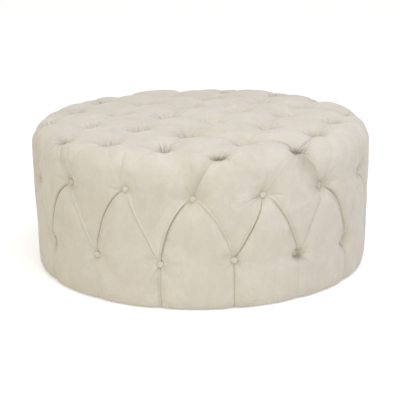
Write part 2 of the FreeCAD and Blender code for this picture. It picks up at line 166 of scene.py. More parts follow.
STRAYS = {
    **by_row(
        upper={10: (-14, -8), 11: (8, -2), 12: (18, 4), 13: (0, -4), 14: (3, -5), 15: (-1, -4),
               0: (-7, 6), 3: (5, -6), 6: (-8, 4), 8: (6, 5)},
        lower={10: (-4, -8), 11: (1, 2), 12: (-2, 3), 13: (8, 8), 14: (0, 5), 15: (-8, 10),
               2: (6, -4), 5: (-5, 5), 7: (4, -6)},
    ),
    (-.5, -.5): (4, 5), (.5, -.5): (1, -4), (-.5, .5): (6, -1), (.5, .5): (6, -7),
    (-1.5, -.5): (7, 4), (1.5, -.5): (6, 3), (.5, -1.5): (1, -9), (-1.5, .5): (8, 10),
    (1.5, .5): (-6, 10), (.5, 1.5): (9, 5), (-1.5, -1.5): (1, 7), (1.5, -1.5): (10, -7),
    (-1.5, 1.5): (4, -8), (1.5, 1.5): (0, 10), (2.5, -.5): (-4, 8), (2.5, .5): (-8, 10),
    (.5, -2.5): (-2, -3), (-.5, -2.5): (-9, -3), (-2.5, -.5): (8, -6), (-2.5, .5): (9, 8),
    (-.5, 2.5): (-10, 3), (2.5, -1.5): (4, 3), (-1.5, -2.5): (3, -3),
}


def regular_place(node):
    kind, k = node
    if kind == "upper":
        return polar(along_to(UPPER_HEIGHT), STEP * k + ROW_TURN)
    if kind == "lower":
        return polar(along_to(LOWER_HEIGHT), STEP * (k + 0.5) + ROW_TURN)
    if kind == "hem":
        return polar(along_to(HEM_HEIGHT), STEP * (k + 0.5) + ROW_TURN)
    flat = np.array([kind, k]) * LATTICE + np.array(STRAYS.get(node, (0, 0))) * MM
    across = np.hypot(*flat)
    if across <= RIM_CENTRE_RADIUS:
        return flat
    lean = math.acos(min(1, (across - RIM_CENTRE_RADIUS) / RIM_RADIUS))
    return flat * ((RIM_END - RIM_RADIUS * lean) / across)


def place_of(node):
    place = regular_place(node)
    if node[0] not in ON_SIDE or node not in STRAYS:
        return place
    outward = place / np.hypot(*place)
    around = np.array([-outward[1], outward[0]])
    up, turn = np.array(STRAYS[node]) * MM
    return place - outward * up + around * turn * np.hypot(*place) / FULL_RADIUS


def kind_of(node):
    if node[0] in ON_SIDE:
        return node[0]
    return "rim" if node in RIM else "top"


def tuft_of(node):
    return dict(TUFTS[kind_of(node)], **SEWN.get(node, {}))


PLACE = {node: place_of(node) for node in TOP + UPPER + LOWER + HEM}
for k in range(TUFTS_IN_ROW):
    tuft = PLACE["lower", k]
    PLACE["hem", k] = tuft / np.hypot(*tuft) * along_to(HEM_HEIGHT)

# A fold: a soft hollow, a sharp crease in it and, on the side, the rolled lip of the pleat
# beside the crease with a second line behind it. Depths and widths are in millimetres.

FOLDS = {
    "top": dict(soft=2.8, spread=25, crease=0.9, width=4, lip=0, second=0, bow=0),
    "rim": dict(soft=1.2, spread=22, crease=0.4, width=4, lip=0, second=0, bow=0),
    "side": dict(soft=1.3, spread=15, crease=3.6, width=2.1, lip=2.0, second=1.5, bow=10),
    "pleat": dict(soft=3.4, spread=24, crease=2.4, width=1.9, lip=0.9, second=0.8, bow=0),
}

# The folds that differ from the usual ones; roll is the side on which the lip lies. First those
# of the side, by their upper and lower tuft, then the pleats by their lower one, then the rest.

SIDE_FOLDS = {
    (13, 12): dict(crease=7.0, width=2.0, lip=2.4, second=2.0, bow=17, roll=-1),
    (13, 13): dict(crease=1.9, lip=1.3, second=1.7, bow=10, roll=1),
    (14, 13): dict(crease=6.6, width=2.0, lip=2.2, second=1.4, bow=-14, roll=-1),
    (14, 14): dict(crease=3.6, lip=2.6, second=1.8, bow=11, roll=1),
    (15, 14): dict(crease=2.6, lip=0.8, second=0.2, bow=-7, roll=1),
    (15, 15): dict(crease=9.0, lip=3.2, second=3.0, bow=15, roll=-1),
    (12, 11): dict(crease=6.5, width=2.0, lip=1.4, second=1.2, bow=16, roll=1),
    (12, 12): dict(crease=0.5, lip=3.0, second=0.2, bow=-11, roll=1),
    (11, 11): dict(crease=0.9, lip=3.4, second=0.6, bow=-5, roll=1),
    (11, 10): dict(crease=9.5, width=2.6, lip=1.2, second=0.4, bow=17, roll=-1),
    (10, 10): dict(crease=1.4, lip=3.6, second=0.8, bow=2, roll=1),
    (0, 0): dict(crease=6.0, lip=2.6, second=1.0, bow=12, roll=-1),
    (0, 15): dict(crease=2.8, lip=1.2, second=0.6, bow=6, roll=1),
}
PLEATS = {
    12: dict(crease=2.8, lip=1.4, second=2.4, roll=-1),
    13: dict(crease=4.4, lip=0.8, second=0.2, roll=1),
    14: dict(crease=1.2, lip=0.5, second=0.2, roll=1),
    11: dict(crease=0.9, lip=0.5, second=0.2, roll=1),
    15: dict(crease=1.6, lip=0.6, second=0.2, roll=1),
}
MARKED = {
    **{(("upper", u), ("lower", k)): look for (u, k), look in SIDE_FOLDS.items()},
    **{(("lower", k), ("hem", k)): look for k, look in PLEATS.items()},
    ((1.5, -2.5), (2.5, -1.5)): dict(crease=0.6, soft=4),
    ((1.5, -2.5), (1.5, -1.5)): dict(crease=1.4, soft=6),
    ((1.5, -1.5), (2.5, -1.5)): dict(crease=13.0, width=2.8, soft=2, lip=2.2, bow=24, roll=-1),
    ((2.5, -1.5), (2.5, -0.5)): dict(crease=4.0, width=2.6, soft=5, lip=1.6, roll=-1),
    ((2.5, -1.5), ("upper", 15)): dict(crease=2.6, soft=6, spread=18, lip=1.2, bow=-9, roll=-1),
    ((2.5, -1.5), ("upper", 14)): dict(crease=0.4, soft=6, spread=20),
    ((1.5, -2.5), ("upper", 13)): dict(crease=1.6, width=5, soft=5, spread=18, lip=1.2, roll=-1),
    ((0.5, -2.5), ("upper", 13)): dict(crease=0.2, soft=4, spread=20),
    ((-1.5, -2.5), ("upper", 11)): dict(crease=0.6, soft=4, spread=16, lip=1.6, roll=-1),
}


def fold_kind(first, second):
    if "hem" in (first[0], second[0]):
        return "pleat"
    on_side = (first[0] in ON_SIDE) + (second[0] in ON_SIDE)
    return ("top", "rim", "side")[on_side]


def fold_order(first, second):
    """The two ends of a fold, the higher one first."""
    rank = {"upper": 1, "lower": 2, "hem": 3}
    return tuple(sorted((first, second), key=lambda node: (rank.get(node[0], 0), repr(node))))


def seeded(thing, salt):
    """A generator that gives one tuft or fold the same numbers on every run."""
    letters = enumerate(repr(thing))
    return np.random.default_rng(sum(ord(letter) * (place + salt) for place, letter in letters))


def look_of(ends):
    """Numbers of one fold in metres; the unmarked ones vary a little, always alike."""
    look = dict(FOLDS[fold_kind(*ends)], roll=1)
    rng = seeded(ends, 1)
    if fold_kind(*ends) in ("side", "pleat"):
        for name in ("crease", "lip", "second"):
            look[name] *= rng.uniform(0.35, 1.5)
    else:
        look["crease"] *= rng.uniform(0, 2)
        look["soft"] *= rng.uniform(0.75, 1.2)
    look["bow"] *= rng.choice([1.35, 1.0, 0.7, -0.8])
    look["roll"] = 1 if rng.uniform() < 0.5 else -1
    for pair in (ends, ends[::-1]):
        look.update(MARKED.get(pair, {}))
    for name in ("soft", "spread", "crease", "width", "lip", "second", "bow"):
        look[name] *= MM
    return look


def top_cells():
    squares = [[(i, j), (i + 1, j), (i + 1, j + 1), (i, j + 1)] for i in HALVES for j in HALVES]
    return [square for square in squares if all(node in TOP for node in square)]


def rim_cells():
    cells = []
    for k in range(TUFTS_IN_ROW):
        before, after = RIM[k - 1], RIM[k]
        if abs(before[0] - after[0]) == 1 and abs(before[1] - after[1]) == 1:
            corner = (math.copysign(1.5, after[0]), math.copysign(1.5, after[1]))
            cells.append([corner, before, ("upper", k), after])
        else:
            cells.append([before, ("upper", k), after])
    return cells


def side_cells():
    return [[RIM[k], ("upper", k), ("lower", k), ("upper", (k + 1) % TUFTS_IN_ROW)]
            for k in range(TUFTS_IN_ROW)]


def hem_cells():
    neighbours = [((k - 1) % TUFTS_IN_ROW, k) for k in range(TUFTS_IN_ROW)]
    return [[("upper", k), ("lower", before), ("hem", before), ("hem", k), ("lower", k)]
            for before, k in neighbours]


CELLS = top_cells() + rim_cells() + side_cells() + hem_cells()
FINE = dict(steps=34, rings=(
    0, .011, .026, .044, .064, .088, .116, .15, .19, .235, .285, .34, .4, .47, .55, .65, .77, .89))
COARSE = dict(steps=10, rings=(0, .06, .15, .3, .5, .75))
ENDWARD = 0.35

# Profile of a fold and of what lies round a tuft, in metres

LIP_AWAY, LIP_WIDTH = 0.0048, 0.0030
SECOND_AWAY, SECOND_WIDTH = 0.0100, 0.0016
FOLD_MARGIN = 0.075
TUFT_MARGIN = 0.13
FOLD_FADE = 0.016
ROOM_TO_SWELL = 0.0024
CALM_REACH = 0.020
UNDER_VELVET = 0.0080
UNEVEN, UNEVEN_SPAN = 0.0009, 0.17

# How deep a hollow and a crease count as full painted shade (1); the painted shade in the hollows of the
# top and rim is weaker

SUNK_FULL = 0.03
TOP_SUNK = 0.5
CREASE_FULL = 0.0075
CREASE_REACH = 0.0019


def shares_along(steps):
    """Steps along a fold, closer together near the tufts."""
    even = np.linspace(0, 1, steps + 1)
    return even - ENDWARD * np.sin(2 * np.pi * even) / (2 * np.pi)


def fold_path(first, second, steps):
    """Places along a fold, always worked out from its higher end so that neighbours share it."""
    start, end = fold_order(first, second)
    a, b = PLACE[start], PLACE[end]
    share = shares_along(steps)[:, None]
    if start[0] == "hem":
        angle_a, angle_b = math.atan2(a[1], a[0]), math.atan2(b[1], b[0])
        angle_b += round((angle_a - angle_b) / math.tau) * math.tau
        angles = angle_a + (angle_b - angle_a) * share[:, 0]
        path = np.column_stack([np.cos(angles), np.sin(angles)]) * along_to(HEM_HEIGHT)
    else:
        path = a * (1 - share) + b * share
        bow = look_of((start, end))["bow"]
        if bow:
            across = (b - a) / np.hypot(*(b - a))
            side = np.array([-across[1], across[0]])
            outward = a / np.hypot(*a)
            away = (b - a) - outward * ((b - a) @ outward)
            if side @ away < 0:
                side = -side
            path = path + side * bow * np.sin(np.pi * share ** 0.8)
    return path if (first, second) == (start, end) else path[::-1]


FOLD_PATHS = {}
for cell in CELLS:
    for pair in zip(cell, cell[1:] + cell[:1]):
        ends = fold_order(*pair)
        if ends[0][0] != "hem":
            FOLD_PATHS[ends] = fold_path(*ends, FINE["steps"])


def nearest_on(points, path):
    """Signed distance of each point from a broken line, and the share of the line passed there."""
    best = np.full(len(points), np.inf)
    signed = np.zeros(len(points))
    share = np.zeros(len(points))
    count = len(path) - 1
    for k in range(count):
        start, run = path[k], path[k + 1] - path[k]
        offset = points - start
        part = np.clip((offset @ run) / (run @ run), 0, 1)
        away = offset - part[:, None] * run
        reach = from_axis(away)
        nearer = reach < best
        best[nearer] = reach[nearer]
        side = np.sign(run[0] * offset[:, 1] - run[1] * offset[:, 0])
        signed[nearer] = (reach * side)[nearer]
        share[nearer] = (k + part[nearer]) / count
    return signed, share


def waves(points, scale, seed, octaves=3):
    """Smooth, repeatable unevenness between about -1 and 1."""
    rng = np.random.default_rng(seed)
    total = np.zeros(len(points))
    for octave in range(octaves):
        for _ in range(6):
            way = rng.normal(size=3)
            way *= (2 ** octave) * 2 * math.pi / scale / np.linalg.norm(way)
            total += np.sin(points @ way + rng.uniform(0, math.tau)) * 0.55 ** octave
    return total / 5


def plan_offset(places, centre):
    """Offsets from a centre in true distances, outward and around."""
    outward = centre / max(np.hypot(*centre), 1e-6)
    around = np.array([-outward[1], outward[0]])
    foot = skin(centre[None, :])[0][0]
    squeeze = np.hypot(foot[0], foot[1]) / max(np.hypot(*centre), 1e-6)
    offset = places - centre
    return offset @ outward, (offset @ around) * squeeze


def held_along(kind, share):
    """How much of its crease a fold has at each share of its length."""
    if kind == "side":
        return np.clip((share - 0.05) * 9, 0, 1) ** 0.8 * np.clip((1 - share) * 16, 0, 1) ** 0.7
    if kind == "pleat":
        return np.clip(share * 9, 0, 1) ** 0.5
    return 0.35 + 0.65 * np.clip(np.sin(np.pi * share), 0, 1) ** 0.6


def fold_depth(places, rings):
    """Depth of cushions and folds, and how much painted crease shade each point gets from the creases it
    lies in.

    rings is 1 on a fold and 0 in the middle of a cushion.
    """
    along = from_axis(places)
    top_share = 1 - np.clip((along - RIM_CENTRE_RADIUS) / (RIM_END - RIM_CENTRE_RADIUS), 0, 1)
    depth = (0.6 + 1.8 * top_share) * MM * rings ** 2.6
    squeeze = from_axis(skin(places)[0]) / np.maximum(along, 1e-6)
    crease_shade = np.zeros(len(places))
    for ends, path in FOLD_PATHS.items():
        look = look_of(ends)
        low, high = path.min(0) - FOLD_MARGIN, path.max(0) + FOLD_MARGIN
        near = np.flatnonzero(((places >= low) & (places <= high)).all(1))
        if not len(near):
            continue
        signed, share = nearest_on(places[near], path)
        signed = signed * (0.45 + 0.55 * squeeze[near])
        away = np.abs(signed)
        kind = fold_kind(*ends)
        hold = held_along(kind, share)
        soft = look["soft"] * (share ** 1.2 if kind == "pleat" else 1)
        depth[near] += soft * np.exp(-(away / look["spread"]) ** 2)
        depth[near] += look["crease"] * np.exp(-away / look["width"]) * hold
        lines = [(look["crease"], away)]
        if look["lip"]:
            lean = signed * look["roll"]
            narrow = (1.0 - 0.45 * share) if kind == "side" else 0.75
            lip = np.exp(-((lean - LIP_AWAY * narrow) / (LIP_WIDTH * narrow)) ** 2)
            behind = np.abs(lean - SECOND_AWAY * narrow)
            depth[near] += (look["second"] * np.exp(-behind / SECOND_WIDTH) - look["lip"] * lip) * hold
            lines.append((look["second"], behind))
        # Painted shade along the crease and along the second line behind the lip, by how deep each is
        for deep, off in lines:
            shade_in_crease = deep / CREASE_FULL * hold * np.exp(-(off / CREASE_REACH) ** 1.5)
            crease_shade[near] = np.maximum(crease_shade[near], shade_in_crease)
    return depth, crease_shade


# Gathers round a tuft that are modelled: how deep and how long, in millimetres

WRINKLES = {"top": (2.0, 20), "rim": (1.5, 18), "upper": (0.45, 20), "lower": (0.5, 22)}
WRINKLES_PER_TUFT = 9


def wrinkles(reach, angle, node):
    """Gathers that run out from a tuft, each a shallow valley of its own heading and length."""
    rng = seeded(node, 3)
    strength, length = (value * MM for value in WRINKLES[kind_of(node)])
    beyond = np.maximum(reach - 0.014, 0)
    total = np.zeros(len(reach))
    for _ in range(WRINKLES_PER_TUFT):
        heading = rng.uniform(0, math.tau)
        width = rng.uniform(0.10, 0.17)
        fade = length * rng.uniform(0.6, 1.3)
        turn = wrapped(angle - heading)
        bend = turn + rng.uniform(-3, 3) * (reach - 0.02)
        total += rng.uniform(0.5, 1.0) * np.exp(-(bend / width) ** 2) * np.exp(-beyond / fade)
    return total * strength * np.clip((reach - 0.009) / 0.008, 0, 1)


# Sectors of fine gathers round a tuft: heading and half width in degrees, strength, length in
# millimetres. A heading of 0 runs away from the middle of the plan, 90 anticlockwise.

SECTORS = by_row(
    upper={
        12: [(-80, 34, 0.7, 34), (100, 25, 0.3, 24)],
        13: [(-35, 30, 0.5, 26), (150, 30, 0.5, 26)],
        14: [(-88, 22, 1.0, 60), (-150, 18, 0.8, 24), (20, 20, 0.4, 20)],
        15: [(-120, 34, 0.8, 34), (-60, 20, 0.4, 24)],
    },
    lower={
        11: [(-30, 40, 0.6, 30)],
        12: [(-12, 26, 0.8, 34), (60, 20, 0.4, 24)],
        13: [(62, 36, 0.9, 26), (-60, 20, 0.4, 20)],
        14: [(42, 34, 1.3, 34), (-10, 20, 0.6, 30)],
        15: [(0, 30, 0.7, 30)],
    },
)

GATHER_REACH = 0.11

# The other tufts draw theirs: how many sectors, then the ranges of half width, strength, length

SECTOR_RANGES = {"top": (3, (50, 90), (1.0, 1.5), (24, 34)), "side": (2, (20, 40), (0.4, 1.0), (22, 40))}


def sectors_of(node):
    if node in SECTORS:
        return SECTORS[node]
    rng = seeded(node, 7)
    count, *ranges = SECTOR_RANGES["side" if node[0] in ON_SIDE else "top"]
    return [(rng.uniform(0, 360), *(rng.uniform(*bounds) for bounds in ranges)) for _ in range(count)]


def gathers(places):
    """For the velvet's bumps: offset from the nearest tuft, and how strong its gathers are there."""
    nearest = np.full(len(places), np.inf)
    offsets = np.zeros((len(places), 3))
    strength = np.zeros(len(places))
    for number, node in enumerate(TOP + UPPER + LOWER):
        outward, around = plan_offset(places, PLACE[node])
        reach = np.hypot(outward, around)
        near = np.flatnonzero((reach < nearest) & (reach < GATHER_REACH))
        nearest[near] = reach[near]
        offsets[near] = np.column_stack([outward[near], around[near], np.full(len(near), number * 0.37)])
        angle = np.arctan2(around[near], outward[near])
        held = np.zeros(len(near))
        for heading, half_width, power, length in sectors_of(node):
            turn = wrapped(angle - math.radians(heading))
            fade = np.exp(-(np.maximum(reach[near] - 0.012, 0) / (length * MM)) ** 2)
            held = np.maximum(held, power * np.exp(-(turn / math.radians(half_width)) ** 2) * fade)
        strength[near] = held * np.clip((reach[near] - 0.008) / 0.006, 0, 1)
    return offsets, strength


# Painted shade and painted highlight beside a fold, darker where the fold shades the cloth, paler where it
# catches the light, and partly where the nap lies the other way: on which side of the fold, how much
# darker (-) or paler (+), and how far it reaches in millimetres

FOLD_SHADE_AND_NAP = [
    ((2.5, -1.5), ("upper", 15), -1, -0.75, 34), ((2.5, -1.5), ("upper", 14), 1, -0.25, 22),
    (("upper", 13), ("lower", 12), -1, 0.45, 16), (("upper", 12), ("lower", 12), 1, 0.40, 20),
    ((1.5, -2.5), ("upper", 13), -1, -0.30, 16), (("upper", 11), ("lower", 11), 1, 0.30, 14),
    ((0.5, -2.5), ("upper", 13), 1, 0.25, 14), (("upper", 15), ("lower", 15), 1, -0.20, 18),
]


def brushed(places):
    """Painted shade and painted highlight beside folds, partly for the nap lying the other way: 0 as
    usual, below 0 darker, above 0 paler.
    """
    nap = np.zeros(len(places))
    for first, second, side, strength, reach in FOLD_SHADE_AND_NAP:
        signed, share = nearest_on(places, FOLD_PATHS[fold_order(first, second)])
        away = signed * side / (reach * MM)
        middle = np.clip(np.sin(np.pi * share), 0, 1) ** 0.5
        nap += strength * np.where(away > 0, np.exp(-away ** 2), 0) * middle
    return nap


def surface(places, rings, plain=False):
    """Points of the tufted surface at places of the plan, and how sunk and how creased each is, as masks
    for the painted shade in hollows and creases.

    A plain surface has no wrinkles and isn't drawn in to leave room for the cloth to swell.
    """
    feet, normals = skin(places)
    folds, crease_shade = fold_depth(places, rings)
    total = np.zeros(len(places))
    pull = np.zeros((len(places), 3))
    fine = np.zeros(len(places))
    close = np.zeros(len(places))
    sunk = np.zeros(len(places))
    for node in TOP + UPPER + LOWER:
        outward, around = plan_offset(places, PLACE[node])
        near = np.flatnonzero((np.abs(outward) < TUFT_MARGIN) & (np.abs(around) < TUFT_MARGIN))
        reach = np.hypot(outward[near], around[near])
        tuft = tuft_of(node)
        front = np.where(outward[near] > 0, tuft.get("front", 1), 1)
        walled = np.hypot(outward[near] * front, around[near])
        beyond = np.maximum(walled - BUTTON_RADIUS * 0.75, 0)
        well = tuft["depth"] * np.exp(-(beyond / tuft["reach"]) ** tuft["power"])
        way = pull_direction(node)
        pull[near] += well[:, None] ** 2 * way
        total[near] = np.maximum(total[near], well)
        # Painted shade in the hollows, by how deep each tuft pulls the cloth; weaker on the top and rim
        sunk[near] = np.maximum(sunk[near], well * (1 if node[0] in ON_SIDE else TOP_SUNK))
        close[near] = np.maximum(close[near], np.exp(-(reach / CALM_REACH) ** 2))
        if not plain:
            fine[near] += wrinkles(reach, np.arctan2(around[near], outward[near]), node)
    length = np.linalg.norm(pull, axis=1)
    way = np.where(length[:, None] > 1e-12, pull / np.maximum(length, 1e-12)[:, None], -normals)
    keep = np.exp(-total / FOLD_FADE)
    depth = folds * (0.35 + 0.65 * keep) + fine
    depth += dents(feet)
    if not plain:
        depth += UNEVEN * waves(feet, UNEVEN_SPAN, 3) + ROOM_TO_SWELL * (1 - close)
    points = feet - normals * depth[:, None] + way * total[:, None]
    return points, sunk + folds, crease_shade * keep


def pull_direction(node):
    """The way a tuft is pulled: to the deck on the top, straight in on the side."""
    normal = skin(PLACE[node][None, :])[1][0]
    if node[0] in ON_SIDE:
        return -normal
    across = math.hypot(node[0], node[1]) * LATTICE
    outward = PLACE[node] / np.hypot(*PLACE[node])
    way = np.array([0, 0, -1.0]) - np.append(outward, 0) * max(0, across - ANCHOR_REACH) / ANCHOR_DEPTH
    return way / np.linalg.norm(way)


# Hollows where the padding is thin: between which two tufts, how far along, depth and reach

DENTS = [
    ((2.5, -1.5), ("lower", 14), 0.22, 10.5, 25), ((0.5, -2.5), ("lower", 12), 0.75, 2.0, 30),
    ((1.5, -2.5), ("lower", 13), 0.70, 1.5, 35), ((-0.5, -2.5), ("lower", 11), 0.3, 2.0, 35),
    ((2.5, -0.5), ("lower", 15), 0.3, 2.5, 35),
]


def dents(feet):
    depth = np.zeros(len(feet))
    for first, second, share, deep, reach in DENTS:
        place = PLACE[first] * (1 - share) + PLACE[second] * share
        centre = skin(place[None, :])[0][0]
        away = np.linalg.norm(feet - centre, axis=1)
        depth += deep * MM * np.exp(-(away / (reach * MM)) ** 2)
    return depth


def grid_faces(rows, count, base=0):
    """Faces between rows of points, each row a closed ring."""
    faces = []
    for row in range(rows - 1):
        for k in range(count):
            a, b = base + row * count + k, base + row * count + (k + 1) % count
            faces.append((a, b, b + count, a + count))
    return faces


def fan_faces(start, count, tip):
    """Faces from a closed ring of points to a single one."""
    return [(start + k, start + (k + 1) % count, tip) for k in range(count)]


def net(steps, rings):
    """Places, ring shares and faces of all cushions; they meet along the folds."""
    rings = 1 - np.array(rings)
    place_rows, ring_rows, faces, base = [], [], [], 0
    for cell in CELLS:
        edge = np.vstack([fold_path(*pair, steps)[:-1] for pair in zip(cell, cell[1:] + cell[:1])])
        centre = edge.mean(0)
        count = len(edge)
        for ring in rings:
            place_rows.append(centre + (edge - centre) * ring)
            ring_rows.append(np.full(count, ring))
        place_rows.append(centre[None, :])
        ring_rows.append(np.zeros(1))
        last = base + (len(rings) - 1) * count
        faces += grid_faces(len(rings), count, base) + fan_faces(last, count, last + count)
        base = last + count + 1
    return np.vstack(place_rows), np.concatenate(ring_rows), faces


def new_object(name, points, faces, merge=None):
    mesh = bpy.data.meshes.new(name)
    mesh.from_pydata([tuple(point) for point in points], [], faces)
    if merge is not None:
        work = bmesh.new()
        work.from_mesh(mesh)
        bmesh.ops.remove_doubles(work, verts=work.verts, dist=merge)
        bmesh.ops.recalc_face_normals(work, faces=work.faces)
        work.to_mesh(mesh)
        work.free()
    mesh.polygons.foreach_set("use_smooth", [True] * len(mesh.polygons))
    made = bpy.data.objects.new(name, mesh)
    bpy.context.scene.collection.objects.link(made)
    return made


# The hem: how near a pleat it is pinched, in radians; the rows beneath the base, each as how far
# inward of the roll and how much of the way to the level there; the uneven turned edge

PLEAT_PINCH = 0.05
UNDER_ROWS = ((0.006, 0.15), (0.014, 0.55), (0.026, 1.0), (0.045, 1.0))
EDGE_RIPPLE = 0.0006
TURNED_THICKNESS = 0.002


def hem_rows(edge):
    """Rows that roll the hem under and run inward beneath the base to the turned edge."""
    angles = np.arctan2(edge[:, 1], edge[:, 0])
    edge = edge[np.argsort(angles)]
    angles = np.sort(angles)
    across = from_axis(edge)
    pleats = np.array([math.atan2(*PLACE["hem", k][::-1]) for k in range(TUFTS_IN_ROW)])
    nearest = np.abs(wrapped(angles[:, None] - pleats[None, :])).min(1)
    belly = 1 - np.exp(-(nearest / PLEAT_PINCH) ** 2)
    rows = [edge]
    for share in (0.2, 0.4, 0.6, 0.8, 1.0):
        lean = share * math.pi / 2
        reach = across - HEM_ROLL * (1 - math.cos(lean))
        level = edge[:, 2] - HEM_ROLL * math.sin(lean) * (0.75 + 0.25 * belly)
        rows.append(ring_points(reach, angles, level))
    low = rows[-1][:, 2]
    for inward, share in UNDER_ROWS:
        level = low * (1 - share) + UNDER_HEIGHT * share
        rows.append(ring_points(across - HEM_ROLL - inward, angles, level))
    turned = TURNED_RADIUS + EDGE_RIPPLE * np.sin(angles * 47 + 2 * np.sin(angles * 5))
    for level in (UNDER_HEIGHT, UNDER_HEIGHT + TURNED_THICKNESS):
        rows.append(ring_points(turned, angles, level))
    return np.vstack(rows), len(rows), len(angles)


# The velvet settles as cloth: a coarser net of it is held at its tufts, folds and hem

SETTLING = dict(steps=18, rings=(0, .05, .12, .21, .32, .45, .6, .8))
SETTLE_FRAMES = 14
SETTLE_MOST = 0.0035
HOLD_REACH = 0.013
FOLD_HOLD = 0.35
HEM_HOLD = 0.004
SPREAD_REACH = 0.004
SPREAD_POINTS = 6
CLOTH = dict(
    quality=4, mass=0.001, air_damping=3.0, tension_stiffness=20, compression_stiffness=20,
    shear_stiffness=8, bending_stiffness=0.05, use_pressure=True, uniform_pressure_force=10.0,
    shrink_min=-0.025, shrink_max=-0.025, vertex_group_mass="held", pin_stiffness=2.0,
)


def search_tree(points):
    tree = KDTree(len(points))
    for index, point in enumerate(points):
        tree.insert(point, index)
    tree.balance()
    return tree


def nearest_points(points, piece):
    """Which of the points each vertex of a piece was made from."""
    tree = search_tree(points)
    return [tree.find(vertex.co)[1] for vertex in piece.data.vertices]


def vertex_places(mesh):
    places = np.empty(len(mesh.vertices) * 3)
    mesh.vertices.foreach_get("co", places)
    return places.reshape(-1, 3)


def held_at(places, rings):
    """How firmly the cloth is held at each place, from 0 to 1."""
    held = FOLD_HOLD * (rings > 0.999)
    for node in TOP + UPPER + LOWER:
        reach = np.hypot(*plan_offset(places, PLACE[node]))
        held = np.maximum(held, np.exp(-(reach / HOLD_REACH) ** 4))
    held[from_axis(places) > along_to(HEM_HEIGHT) - HEM_HOLD] = 1
    return held


def settling_cloth():
    places, rings, faces = net(**SETTLING)
    starts = surface(places, rings)[0]
    held = held_at(places, rings)
    cloth = new_object("settling_velvet", starts, faces, merge=2e-5)
    group = cloth.vertex_groups.new(name="held")
    for vertex, found in zip(cloth.data.vertices, nearest_points(starts, cloth)):
        group.add([vertex.index], float(held[found]), "REPLACE")
    modifier = cloth.modifiers.new("settling", "CLOTH")
    for name, value in CLOTH.items():
        setattr(modifier.settings, name, value)
    modifier.settings.effector_weights.gravity = 0
    modifier.collision_settings.use_collision = False
    modifier.point_cache.frame_end = SETTLE_FRAMES
    return cloth


def settled(points):
    """The points after the cloth under them has swelled and gathered between its tufts."""
    cloth = settling_cloth()
    for moment in range(1, SETTLE_FRAMES + 1):
        bpy.context.scene.frame_set(moment)
    before = vertex_places(cloth.data)
    after = vertex_places(cloth.evaluated_get(bpy.context.evaluated_depsgraph_get()).data)
    bpy.context.scene.frame_set(1)
    moved = after - before
    length = np.linalg.norm(moved, axis=1)
    moved *= (SETTLE_MOST * np.tanh(length / SETTLE_MOST) / np.maximum(length, 1e-9))[:, None]
    tree = search_tree(before)
    shifted = np.empty_like(points)
    for index, point in enumerate(points):
        near = tree.find_n(point, SPREAD_POINTS)
        share = np.array([math.exp(-(away / SPREAD_REACH) ** 2) + 1e-9 for _, _, away in near])
        shifted[index] = share @ moved[[found for _, found, _ in near]] / share.sum()
    bpy.data.meshes.remove(cloth.data)
    return points + shifted


def make_cover():
    places, rings, faces = net(**FINE)
    points, sunk, crease_shade = surface(places, rings)
    points = settled(points)
    on_hem = np.abs(from_axis(places) - along_to(HEM_HEIGHT)) < 1e-6
    points[on_hem, 2] = HEM_HEIGHT
    edge = points[on_hem]
    _, unique = np.unique(np.round(edge, 6), axis=0, return_index=True)
    rows, row_count, across = hem_rows(edge[unique])
    faces += grid_faces(row_count, across, len(points))
    offsets, strength = gathers(places)
    points = np.round(np.vstack([points, rows]), 7)
    cover = new_object("velvet_cover", points, faces, merge=2e-5)
    # Masks for the painted shade in hollows, in creases and beside folds, and the strength of the gathers
    # for their bump
    on_net = {"sunk": sunk / SUNK_FULL, "gather": strength, "nap": brushed(places), "crease": crease_shade}
    values = {name: np.append(value, np.zeros(len(rows))) for name, value in on_net.items()}
    values["tuft_offset"] = np.vstack([offsets, np.full((len(rows), 3), 0.1)])
    store(cover, points, values)
    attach(cover, "root")
    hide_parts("cover")
    return cover


def store(cover, points, values):
    """Keeps values worked out for the points on the vertices that were merged from them."""
    found = nearest_points(points, cover)
    for name, value in values.items():
        kind = "FLOAT_VECTOR" if value.ndim == 2 else "FLOAT"
        layer = cover.data.attributes.new(name, kind, "POINT")
        layer.data.foreach_set("vector" if value.ndim == 2 else "value", value[found].ravel())


def lathe(name, profile, sides, uneven=0.0, seed=0):
    """Round solid from a closed profile of (radius, height), optionally a little uneven."""
    angles = np.linspace(0, math.tau, sides, endpoint=False)
    points = np.vstack([ring_points(radius, angles, level) for radius, level in profile])
    faces = grid_faces(len(profile), sides)
    last = (len(profile) - 1) * sides
    for k in range(sides):
        faces.append((last + k, last + (k + 1) % sides, (k + 1) % sides, k))
    if uneven:
        out = points * np.array([1, 1, 0])
        out = out / np.maximum(np.linalg.norm(out, axis=1), 1e-6)[:, None]
        points = points + out * (uneven * waves(points, 0.12, seed))[:, None]
    return new_object(name, points, faces, merge=1e-6)


# The padding, in metres: the batting's lowest level, then the foam's clearance inside the solid
# that it stands for and its rounded and cut edges

BATTING_FLOOR = 0.010
FOAM_CLEARANCE = 0.001
SLAB_ROUND = 0.015
SLAB_CUT = 0.004
STRIP_THICKNESS = 0.0135
STRIP_CLEARANCE = 0.0005
STRIP_CUT = 0.003
FOAM_SIDES = 96


def make_batting():
    """Wadding under the velvet, quilted by the tufts."""
    places, rings, faces = net(**COARSE)
    points = surface(places, rings, plain=True)[0] - skin(places)[1] * UNDER_VELVET
    points[:, 2] = np.maximum(points[:, 2], BATTING_FLOOR)
    batting = new_object("polyester_batting", points, faces, merge=2e-5)
    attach(batting, "root")
    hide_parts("batting")
    return batting


